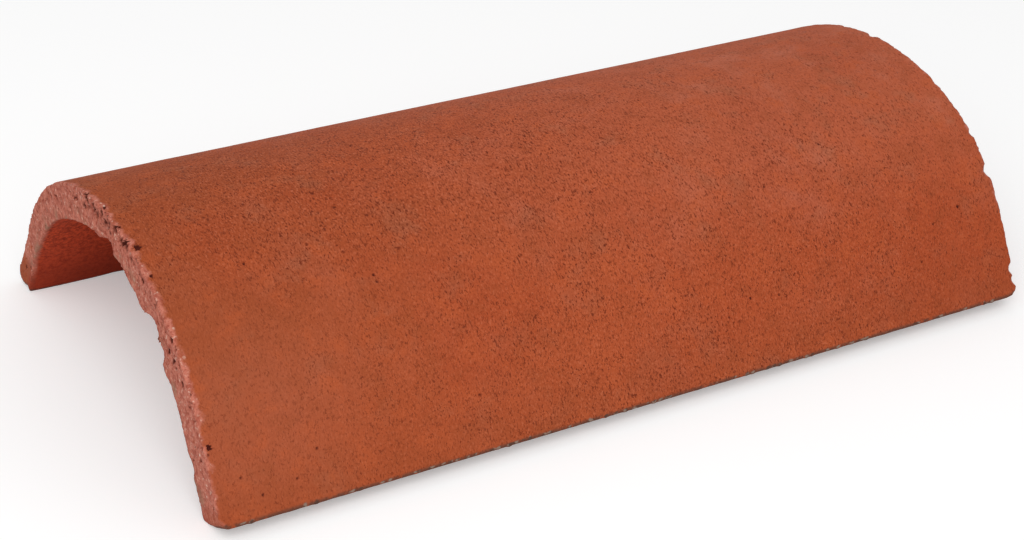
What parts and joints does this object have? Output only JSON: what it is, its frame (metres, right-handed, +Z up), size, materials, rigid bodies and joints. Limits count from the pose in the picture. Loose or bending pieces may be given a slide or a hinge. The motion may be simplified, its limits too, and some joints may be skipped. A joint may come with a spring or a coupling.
{
  "type": "ridge tile",
  "caption": "Arched terracotta-red ridge tile of even wall with flared straight legs and rough cut ends, laid astride a roof ridge to cap it.",
  "frame": {"origin": "on the floor plane, midway along the tile and midway between its two feet", "axes": "+X along the ridge, +Y across it, +Z up through the crown"},
  "size_m": [0.45, 0.2498, 0.1011],
  "materials": {
    "fired_clay": "matt, unglazed, fine dark pits, paler torn ends"
  },
  "bodies": {
    "root": {"ridge_tile": "fired_clay"}
  },
  "joints": []
}
